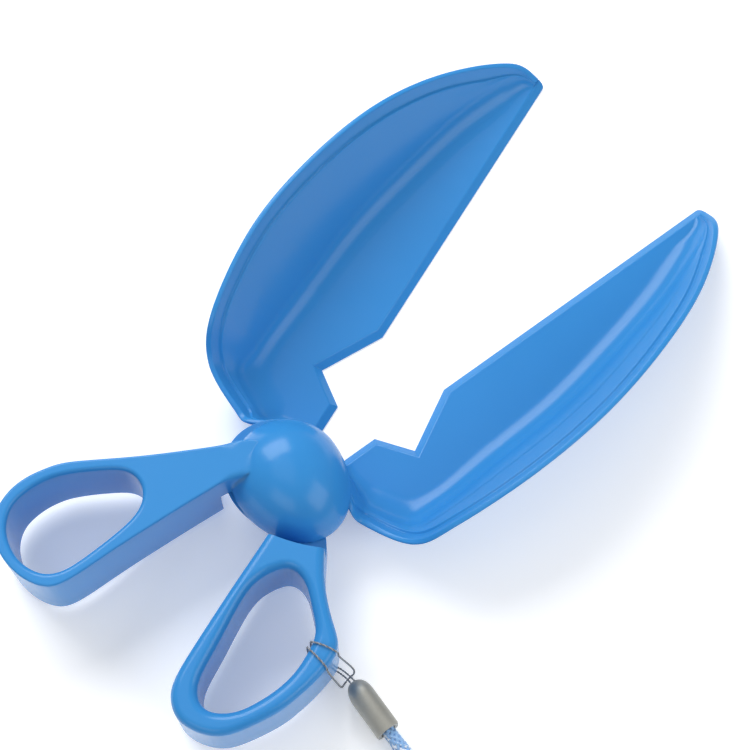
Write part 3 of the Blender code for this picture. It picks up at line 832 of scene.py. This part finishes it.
@dataclass(frozen=True)
class ScooperHalf:
    """One plastic half: dish scoop, half of the ball and finger-ring handle, moulded in one."""

    name: str
    node: str
    body: str
    side: int
    hub_top: float
    heel_lip: float
    dome_stretch: float
    edge_round: float
    ring_round: float
    handle_outline: Pairs
    ring_outline: Pairs
    step_radius: float = 0.0176
    step_stretch: float = 1.0
    bench: Workbench = field(default_factory=Workbench)

    rest_angle: float = math.radians(11.5)
    fit_gap: float = 0.0003
    overrun: float = 0.004
    smallest_share: float = 0.01
    outline_back: float = 0.0018
    outline_out: float = 0.00036

    scoop_reach: float = 0.139
    scoop_breadth: float = 0.0395
    scoop_depth: float = 0.032
    wall: float = 0.0022
    floor_fillet: float = 0.008
    fillet_rise_share: float = 1.05
    lip_height: float = 0.0034
    lip_rise_share: float = 0.3
    lip_step_share: float = 0.36
    lip_foot_round: float = 0.0006
    lip_top_round: float = 0.0004
    rim_round: float = 0.0008
    ridge: float = 0.0003
    ridge_run: float = 0.0008
    ridge_share: float = 0.5
    ridge_full_rise: float = 0.014
    tip_gap: float = 0.00015
    root_gap: float = 0.0012
    notch_depth: float = 0.0089
    notch_shares: tuple[float, ...] = (0.203, 0.250, 0.367)
    edge_land: float = 0.0003
    edge_bevel: float = 0.0019
    edge_ease: float = 0.0007
    land_steps: int = 2
    ease_steps: int = 5
    dish_shares: tuple[tuple[float, ...], ...] = (
        (0.999, 0.030, 0.010, 5, 67, 1.0), (0.980, 0.250, 0.221, 32, 67, 1.0),
        (0.856, 0.565, 0.554, 68, 67, 1.0), (0.706, 0.790, 0.832, 70, 67, 1.0),
        (0.535, 0.942, 0.950, 79, 67, 1.0), (0.360, 1.000, 0.997, 90, 67, 1.0),
        (0.195, 0.952, 0.799, 109, 67, 1.0), (0.122, 0.843, 0.460, 124, 60, 1.35),
        (0.074, 0.542, 0.326, 145, 58, 1.25),
    )
    station_steps: int = 12
    arc_steps: int = 10
    lip_steps: int = 3
    rim_steps: int = 5

    ball_radius: float = 0.0145
    pivot_height: float = 0.0153
    ball_clearance: float = 0.0004
    hub_flat: float = 0.002
    hub_shell: float = 0.0026
    hub_wall_share: float = 0.897
    hub_fillet_share: float = 0.375
    hub_wall_angle: float = 84.0
    hub_outward_angle: float = 180.0
    hub_shoulder_angle: float = 30.0
    hub_lip_share: float = 0.04
    heel_shares: tuple[float, ...] = (0.49, 1.14, 0.9)
    heel_outward_angle: float = 155.0
    heel_wall_angle: float = 66.0
    heel_fillet_share: float = 0.75
    dome_steps: int = 28

    handle_reach: float = 0.068
    handle_breadth: float = 0.036
    handle_bottom: float = 0.0038
    handle_top: float = 0.0268
    outline_steps: int = 9
    outline_passes: int = 10
    round_steps: int = 8

    boss_radius: float = 0.0032
    bush_wall: float = 0.0008
    washer_top: float = 0.0079
    screw_radius: float = 0.0015
    screw_top: float = 0.0183
    counterbore_radius: float = 0.0056
    spring_outer: float = 0.0074
    spring_seat: float = 0.0006
    spring_recess: float = 0.00125
    smooth_angle: float = 32.0

    def place(self, x: float, y: float, z: float) -> Vector:
        """Turn a point of the closed half's outlines to its side of the resting scooper.

        Args:
            x: distance along the mating edge.
            y: distance out from it.
            z: height.

        Returns:
            The point on the resting half.
        """
        turn = self.side * self.rest_angle
        x, y = x - self.outline_back, self.side * (y + self.outline_out)
        return Vector((x * math.cos(turn) - y * math.sin(turn), x * math.sin(turn) + y * math.cos(turn), z))

    def section(self, station: Vector, spine: float) -> Points:
        """Make one section of the dish: floor, fillet, wall, stepped lip and back down outside.

        Args:
            station: rim x, y and height, outward angle, wall angle, fillet and lip share.
            spine: where on the mating side the section's floor starts.

        Returns:
            The section's closed loop of points.
        """
        x, y, top, outward_angle, wall_angle, fillet, lip_share = station
        rise = max(top - self.wall, self.smallest_share * self.scoop_depth)
        top = self.wall + rise
        radius = min(fillet, self.fillet_rise_share * rise)
        lean = math.radians(wall_angle)
        side, drop, slope = math.sin(lean), math.cos(lean), math.tan(lean)
        corner = radius * math.tan(lean / 2)
        reach = corner + rise / slope
        lip = lip_share * min(self.lip_height, self.lip_rise_share * rise)
        step = self.lip_step_share * self.wall * lip / self.lip_height
        foot = reach - lip / slope
        scale = lip_share * min(1.0, rise / self.ridge_full_rise)
        arc_end = radius * (1 - drop)
        middle = arc_end + self.ridge_share * (rise - lip - arc_end)
        ridge = Vector((corner + middle / slope, self.wall + middle))
        along = Vector((drop, side)) * self.ridge_run * scale / 2
        inward = Vector((-side, drop)) * self.ridge * scale
        low, high = ridge - along + inward, ridge + along
        outer = (radius + self.wall) * math.tan(lean / 2)
        profile = rounded([
            (-corner, self.wall, 0.0, 0),
            (corner, self.wall, radius, self.arc_steps),
            (low.x, low.y, 0.0, 0),
            (high.x, high.y, 0.0, 0),
            (foot, top - lip, self.lip_foot_round, self.lip_steps),
            (foot + step * side, top - lip - step * drop, self.lip_foot_round, self.lip_steps),
            (reach + step / side, top, self.lip_top_round, self.lip_steps),
            (reach + self.wall / side, top, self.rim_round, self.rim_steps),
            (outer, 0.0, radius + self.wall, self.arc_steps),
            (-outer, 0.0, 0.0, 0),
        ])
        turn = math.radians(outward_angle)
        outward = Vector((math.cos(turn), math.sin(turn)))
        floor = Vector((x, y)) - outward * (reach + self.wall / side)
        points = [self.place(spine, -self.overrun, self.wall)]
        points += [self.place(*(floor + outward * point.x), point.y) for point in profile]
        points.append(self.place(spine, -self.overrun, 0.0))
        return points

    def stations(self) -> list[tuple[float, ...]]:
        """List the rim's stations, from past the mating line at the tip to past it at the hub.

        Returns:
            The stations, as section takes them.
        """
        depth = self.scoop_depth - self.wall
        rows = [(x * self.scoop_reach, y * self.scoop_breadth, self.wall + rise * depth, outward, lean,
                 fillet * self.floor_fillet, 1.0) for x, y, rise, outward, lean, fillet in self.dish_shares]
        tip = rows[0]
        rows.insert(0, (tip[0], -self.overrun, tip[2], 0.0, *tip[4:]))
        heel_x, heel_y, heel_rise = self.heel_shares
        heel_x, heel_y = heel_x * self.ball_radius, heel_y * self.ball_radius
        rows.append((heel_x + self.outline_back, heel_y - self.outline_out, heel_rise * self.hub_top,
                     self.heel_outward_angle, self.heel_wall_angle,
                     self.heel_fillet_share * self.floor_fillet, self.heel_lip))
        radius = self.ball_radius * self.hub_wall_share
        hub = (self.hub_top, self.hub_outward_angle, self.hub_wall_angle,
               self.floor_fillet * self.hub_fillet_share, self.hub_lip_share)
        shoulder = math.radians(self.hub_shoulder_angle)
        rows.append((radius * math.cos(shoulder) + self.outline_back, radius * math.sin(shoulder), *hub))
        rows.append((radius + self.outline_back, 0.0, *hub))
        rows.append((radius + self.outline_back, -self.overrun, *hub))
        return rows

    def mating_cutter(self) -> Object:
        """Make all that lies past the mating edge, with its land, knife bevel and eased edge.

        Returns:
            The cutter's object.
        """
        span = self.scoop_reach + self.ball_radius
        tooth, notch, step = (share * self.scoop_reach for share in self.notch_shares)
        edge = []
        for x, depth in ((-self.ball_radius, 0.0), (tooth, 0.0), (notch, self.notch_depth), (step, 0.0),
                         (span, 0.0)):
            gap = self.root_gap + (self.tip_gap - self.root_gap) * x / self.scoop_reach
            edge.append(Vector((x, depth + gap)))
        far = [Vector((span, -self.scoop_breadth)), Vector((-self.ball_radius, -self.scoop_breadth))]
        above = self.wall + self.edge_ease * self.smallest_share
        levels = rounded([
            (0.0, -2 * self.overrun, 0.0, 0), (0.0, -self.overrun, 0.0, 0),
            (0.0, self.edge_land, self.edge_land, self.land_steps),
            (self.edge_bevel, above, self.edge_ease, self.ease_steps),
            (self.edge_bevel + self.wall, above, 0.0, 0),
        ])
        levels.append(Vector((levels[-1].x, self.scoop_depth + self.overrun)))
        sections = [[self.place(point.x, point.y, height) for point in self.shifted(edge, amount) + far]
                    for amount, height in levels]
        return self.bench.loft(self.name + "_mating_cut", sections)

    def shifted(self, edge: Points, amount: float) -> Points:
        """Shift an open line to its left, with mitred corners.

        Args:
            edge: the line's points.
            amount: how far it moves.

        Returns:
            The moved points.
        """
        ways = [(end - start).normalized() for start, end in zip(edge, edge[1:])]
        normals = [Vector((-way.y, way.x)) for way in ways]
        moved = []
        for point, before, after in zip(edge, [normals[0], *normals], [*normals, normals[-1]]):
            middle = (before + after).normalized()
            moved.append(point + middle * amount / middle.dot(before))
        return moved

    def dish(self) -> Object:
        """Make the scoop, cut along its mating edge and clear of the other half's dome.

        Returns:
            The scoop's object.
        """
        stations = smooth_path([Vector(row) for row in self.stations()], self.station_steps)
        tip = self.scoop_reach - self.floor_fillet
        hub = self.ball_radius + self.outline_back + self.floor_fillet
        sections = []
        for index, station in enumerate(stations):
            sections.append(self.section(station, tip + (hub - tip) * index / (len(stations) - 1)))
        item = self.bench.loft(self.name, sections)
        self.bench.combine(item, self.mating_cutter(), Join.CUT)
        clearance = self.bench.turned(self.name + "_clearance", self.clearance_profile())
        self.bench.combine(item, clearance, Join.CUT)
        return item

    def sphere_profile(self, radius: float, low: float, high: float) -> Profile:
        """Return radius and height pairs of a sphere round the pivot.

        Args:
            radius: the sphere's radius.
            low: the height where the profile starts.
            high: the height where it ends.

        Returns:
            The pairs, upwards.
        """
        limit = math.cos(self.smallest_share)
        first = math.asin(max((low - self.pivot_height) / radius, -limit))
        last = math.asin(min((high - self.pivot_height) / radius, limit))
        angles = (first + (last - first) * step / self.dome_steps for step in range(self.dome_steps + 1))
        return [(radius * math.cos(angle), self.pivot_height + radius * math.sin(angle)) for angle in angles]

    def clearance_profile(self) -> Profile:
        """Return the space that the other half's dome turns in, as radius and height pairs."""
        raise NotImplementedError

    def face(self) -> float:
        """Return the height of this half's flat face in the hub."""
        return self.pivot_height - self.side * self.fit_gap / 2

    def step_levels(self) -> list[float]:
        """Return the heights between which the handle is cut back round the other half's dome."""
        end = self.handle_top if self.side > 0 else self.handle_bottom
        return sorted((self.face(), end + self.side * self.overrun))

    def hub(self, item: Object) -> None:
        """Add this half's part of the hub to its body."""
        raise NotImplementedError

    def heel_way(self) -> Vector:
        """Return the direction from the hinge towards this half's heel."""
        turn = self.side * self.rest_angle
        return Vector((-self.side * math.sin(turn), self.side * math.cos(turn), 0.0))

    def dome(self, low: float, high: float) -> Object:
        """Return half of the ball, stretched towards this half's heel.

        Args:
            low: the height where the dome starts.
            high: the height where it ends.

        Returns:
            The dome's object.
        """
        heel = self.heel_way()
        sections = []
        for radius, height in self.sphere_profile(self.ball_radius, low, high):
            sections.append([point + heel * max(point.dot(heel), 0.0) * (self.dome_stretch - 1)
                             for point in self.bench.ring(radius, height)])
        return self.bench.loft(self.name + "_dome", sections)

    def outline(self, corners: Pairs) -> Points:
        """Return a smooth handle outline on the closed half.

        Args:
            corners: thousandths of the handle's reach and breadth.

        Returns:
            The outline's points, in metres.
        """
        reach, breadth = self.handle_reach, self.handle_breadth
        points = [Vector((-x / THOUSAND * reach, -y / THOUSAND * breadth)) for x, y in corners]
        steps = self.outline_steps
        wrapped = smooth_path([points[-1], *points, points[0], points[1]], steps)
        return relaxed(wrapped[steps:-steps - 1], self.outline_passes)

    def round_levels(self, radius: float) -> Profile:
        """Work out how the handle narrows where its bottom and top edges are rounded.

        Args:
            radius: the edges' radius.

        Returns:
            Height and inset pairs, upwards.
        """
        angles = [math.pi / 2 * step / self.round_steps for step in range(self.round_steps + 1)]
        rise = [(radius * (1 - math.cos(angle)), radius * (1 - math.sin(angle))) for angle in angles]
        bottom = [(self.handle_bottom + lift, amount) for lift, amount in rise]
        return bottom + [(self.handle_top - lift, amount) for lift, amount in reversed(rise)]

    def stacked(self, name: str, outline: Points, levels: Profile) -> Object:
        """Make a block whose outline is inset by a given amount at each height.

        Args:
            name: the block's name.
            outline: its plan outline on the closed half.
            levels: height and inset pairs, upwards.

        Returns:
            The block's object.
        """
        sections = [[self.place(point.x, point.y, height) for point in inset(outline, amount)]
                    for height, amount in levels]
        return self.bench.loft(name, sections)

    def handle(self) -> Object:
        """Make the finger-ring handle, cut back round the other half's dome.

        Returns:
            The handle's object.
        """
        levels = self.round_levels(self.edge_round)
        item = self.stacked(self.name + "_handle", self.outline(self.handle_outline), levels)
        flare = self.round_levels(self.ring_round)
        flare = [(self.handle_bottom - self.overrun, self.ring_round), *flare,
                 (self.handle_top + self.overrun, self.ring_round)]
        hole = self.stacked(self.name + "_ring_hole", self.outline(self.ring_outline),
                            [(height, -amount) for height, amount in flare])
        self.bench.combine(item, hole, Join.CUT)
        heel = self.heel_way()
        sections = [[point + heel * point.dot(heel) * (self.step_stretch - 1)
                     for point in self.bench.ring(self.step_radius, height)] for height in self.step_levels()]
        self.bench.combine(item, self.bench.loft(self.name + "_step", sections), Join.CUT)
        return item

    def build(self, material: Material) -> Object:
        """Make and dress the half.

        Args:
            material: the plastic.

        Returns:
            The finished piece, which stands for the half's CAD node.
        """
        item = self.dish()
        self.bench.combine(item, self.handle(), Join.ADD)
        self.hub(item)
        piece = self.bench.bake(item, self.name, self.smooth_angle)
        paint(piece, material)
        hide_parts(self.node)
        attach(piece, self.body)
        return piece


@dataclass(frozen=True)
class FrontHalf(ScooperHalf):
    """The viewer's half: right scoop, closed front dome with its boss, left handle."""

    name: str = "front_half_moulding"
    node: str = "front_half"
    body: str = "front"
    side: int = -1
    hub_top: float = 0.0166
    hub_wall_share: float = 0.868
    heel_lip: float = 0.5
    heel_shares: tuple[float, ...] = (0.49, 1.14, 0.95)
    dome_stretch: float = 1.3
    edge_round: float = 0.0006
    ring_round: float = 0.0013
    handle_outline: Pairs = (
        (-45, 170), (40, 320), (107, 368), (191, 448), (322, 581), (424, 692), (522, 806), (622, 917),
        (697, 961), (772, 983), (846, 969), (919, 906), (971, 792), (997, 625), (985, 431), (938, 272),
        (860, 206), (662, 200), (441, 183), (310, 169), (237, 160), (193, 154), (152, 130), (112, 103),
        (73, 79), (32, 55), (-45, 35),
    )
    ring_outline: Pairs = (
        (441, 536), (450, 433), (491, 350), (566, 303), (710, 281), (838, 283), (912, 350), (950, 486),
        (953, 625), (926, 767), (865, 869), (779, 897), (696, 878), (625, 825), (537, 731), (466, 636),
    )

    def clearance_profile(self) -> Profile:
        """Return the space that the rear dome turns in."""
        clear = self.ball_radius + self.ball_clearance
        return self.sphere_profile(clear, self.pivot_height - clear, self.face())

    def hub(self, item: Object) -> None:
        """Add the closed dome, its ring-shaped hollow, and the drilled boss.

        Args:
            item: the half's body.
        """
        face, shelf = self.face(), self.washer_top + self.fit_gap
        self.bench.combine(item, self.dome(face, self.pivot_height + self.ball_radius), Join.ADD)
        seat, inner = self.spring_outer + self.spring_seat, self.ball_radius - self.hub_shell
        crown = self.sphere_profile(inner, face, self.pivot_height + math.sqrt(inner ** 2 - seat ** 2))
        low = face - self.fit_gap
        hollow = self.bench.turned("front_hollow", [(seat, low), (inner, low), *crown], closed=True)
        self.bench.combine(item, hollow, Join.CUT)
        boss = [(self.boss_radius, shelf), (self.boss_radius, face + self.hub_shell)]
        self.bench.combine(item, self.bench.turned("front_boss", boss), Join.ADD)
        pilot = self.screw_radius + self.fit_gap
        hole = [(pilot, shelf - self.fit_gap), (pilot, self.screw_top + self.fit_gap)]
        self.bench.combine(item, self.bench.turned("front_pilot", hole), Join.CUT)


@dataclass(frozen=True)
class RearHalf(ScooperHalf):
    """The back half: left scoop, bored rear dome, lower handle that holds the lanyard."""

    name: str = "rear_half_moulding"
    node: str = "rear_half"
    body: str = "rear"
    side: int = 1
    hub_top: float = 0.0146
    heel_lip: float = 0.3
    dome_stretch: float = 1.17
    edge_round: float = 0.0022
    ring_round: float = 0.0024
    step_stretch: float = 1.7
    handle_outline: Pairs = (
        (29, 319), (101, 478), (187, 567), (268, 661), (350, 794), (419, 936), (456, 978), (504, 994),
        (607, 961), (681, 919), (760, 861), (876, 719), (935, 606), (962, 458), (956, 306), (904, 192),
        (824, 147), (662, 144), (441, 150), (226, 164), (59, 156), (15, 222),
    )
    ring_outline: Pairs = (
        (293, 458), (312, 367), (390, 275), (485, 253), (662, 278), (794, 294), (860, 361), (876, 472),
        (831, 617), (750, 719), (674, 783), (593, 819), (493, 817), (435, 783), (372, 678), (315, 569),
    )

    def clearance_profile(self) -> Profile:
        """Return the space above the parting face, where the front dome turns."""
        clear = self.ball_radius + self.ball_clearance
        return [(clear, self.face()), (clear, self.scoop_depth + self.overrun)]

    def hub(self, item: Object) -> None:
        """Add the rear dome and its stepped bore.

        Args:
            item: the half's body.
        """
        face, shelf = self.face(), self.washer_top + self.fit_gap
        recess = face - self.spring_recess
        self.bench.combine(item, self.dome(self.hub_flat, face), Join.ADD)
        bore = self.boss_radius + 2 * self.fit_gap + self.bush_wall
        seat = self.spring_outer + self.spring_seat
        profile = [(self.counterbore_radius, 0.0), (self.counterbore_radius, shelf), (bore, shelf),
                   (bore, recess), (seat, recess), (seat, face + self.overrun)]
        self.bench.combine(item, self.bench.turned("rear_bore", profile), Join.CUT)


@dataclass(frozen=True)
class PivotHardware:
    """Screw, washers, bush and cap on the hinge axis."""

    steel_nodes: tuple[str, ...] = ("pivot_screw", "pivot_washer", "spring_washer")

    def dress(self, nodes: dict[str, Object]) -> None:
        """Give each piece on the hinge axis its finish.

        Args:
            nodes: the frame's CAD nodes by name.
        """
        steel = STEEL.material()
        for name in self.steel_nodes:
            dress_node(nodes[name], steel)
        dress_node(nodes["pivot_bush"], BUSH_PLASTIC.material())
        dress_node(nodes["pivot_cap"], CAP_PLASTIC.material())


@dataclass(frozen=True)
class PhotoCamera:
    """The camera that was fitted to the scoops' edges in the photograph."""

    azimuth: float = -47.855
    elevation: float = 70.953
    roll: float = 0.168
    target: Point = (0.038840, 0.005349, 0.0)
    distance: float = 0.530441
    focal_pixels: float = 1998.743
    frame_pixels: float = 750.0
    sensor: float = 36.0
    clip_start: float = 0.01

    def place(self) -> Object:
        """Aim the scene's camera as the photograph's.

        Returns:
            The camera.
        """
        turn, roll = math.radians(self.azimuth), math.radians(self.roll)
        back = towards(self.azimuth, self.elevation)
        right = Vector((math.cos(turn), math.sin(turn), 0.0))
        up = back.cross(right)
        right, up = (right * math.cos(roll) + up * math.sin(roll),
                     up * math.cos(roll) - right * math.sin(roll))
        data = bpy.data.cameras.new("photo_camera")
        data.sensor_width = self.sensor
        data.lens = self.focal_pixels * self.sensor / self.frame_pixels
        data.clip_start = self.clip_start
        camera = add_object("photo_camera", data)
        turned = Matrix((right, up, back)).transposed().to_4x4()
        camera.matrix_world = Matrix.Translation(Vector(self.target) + back * self.distance) @ turned
        bpy.context.scene.camera = camera
        return camera


@dataclass(frozen=True)
class SoftBox:
    """One large soft light, placed round the object and aimed at it."""

    name: str
    azimuth: float
    elevation: float
    width: float
    height: float
    power: float
    distance: float = 0.9
    colour: Colour = WHITE
    aim: Point = (0.03, 0.0, 0.01)

    def place(self) -> Object:
        """Aim the light at the object.

        Returns:
            The light.
        """
        out = towards(self.azimuth, self.elevation)
        data = bpy.data.lights.new(self.name, "AREA")
        data.shape = "RECTANGLE"
        data.size, data.size_y = self.width, self.height
        data.energy = self.power
        data.color = self.colour
        light = add_object(self.name, data)
        place = Matrix.Translation(Vector(self.aim) + out * self.distance)
        light.matrix_world = place @ out.to_track_quat("Z", "Y").to_matrix().to_4x4()
        return light


@dataclass(frozen=True)
class Studio:
    """Pale floor, white surroundings and soft lights."""

    floor_half: float = 1.6
    floor_gap: float = 0.0001
    world_strength: float = 0.27
    lights: tuple[SoftBox, ...] = (
        SoftBox("window_softbox", 160.0, 44.0, 0.72, 0.55, 7.6),
        SoftBox("side_softbox", 12.0, 36.0, 0.66, 0.52, 2.9),
        SoftBox("top_softbox", -150.0, 80.0, 0.6, 0.6, 0.9),
        SoftBox("fill_softbox", -74.0, 38.0, 0.52, 0.36, 1.0),
    )

    def floor(self) -> Object:
        """Lay the pale floor.

        Returns:
            The floor.
        """
        half = self.floor_half
        corners = [(-half, -half), (half, -half), (half, half), (-half, half)]
        mesh = bpy.data.meshes.new("studio_floor")
        mesh.from_pydata([(x, y, -self.floor_gap) for x, y in corners], [], [range(len(corners))])
        paper = add_object("studio_floor", mesh)
        paint(paper, StudioPaper().material())
        return paper

    def build(self) -> None:
        """Set up the floor, the world and the lights."""
        self.floor()
        world = bpy.data.worlds.new("studio_world")
        world.use_nodes = True
        backdrop = {"Color": (*WHITE, 1.0), "Strength": self.world_strength}
        NodeBoard(world.node_tree).feed(world.node_tree.nodes["Background"], backdrop)
        bpy.context.scene.world = world
        bpy.context.scene.view_settings.view_transform = "Standard"
        for light in self.lights:
            light.place()


def main() -> None:
    """Load the frame, dress every piece and set up the photograph's view."""
    logging.basicConfig(level=logging.INFO, format="%(name)s: %(message)s")
    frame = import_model()
    nodes = frame["nodes"]
    PhotoCamera().place()
    LOG.info("camera placed")
    lanyard = Lanyard()
    LOG.info("wrist cord: %s", lanyard.wrist_cord().name)
    LOG.info("string: %s", lanyard.tie_string().name)
    lanyard.dress_ferrule(nodes["ferrule"])
    LOG.info("ferrule dressed")
    for half, plastic in ((FrontHalf(), NECK_PLASTIC), (RearHalf(), BLUE_PLASTIC)):
        piece = half.build(plastic.material())
        LOG.info("%s: %d faces", piece.name, len(piece.data.polygons))
    PivotHardware().dress(nodes)
    LOG.info("pivot hardware dressed")
    Studio().build()
    LOG.info("studio ready")
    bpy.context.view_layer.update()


if __name__ == "__main__":
    main()
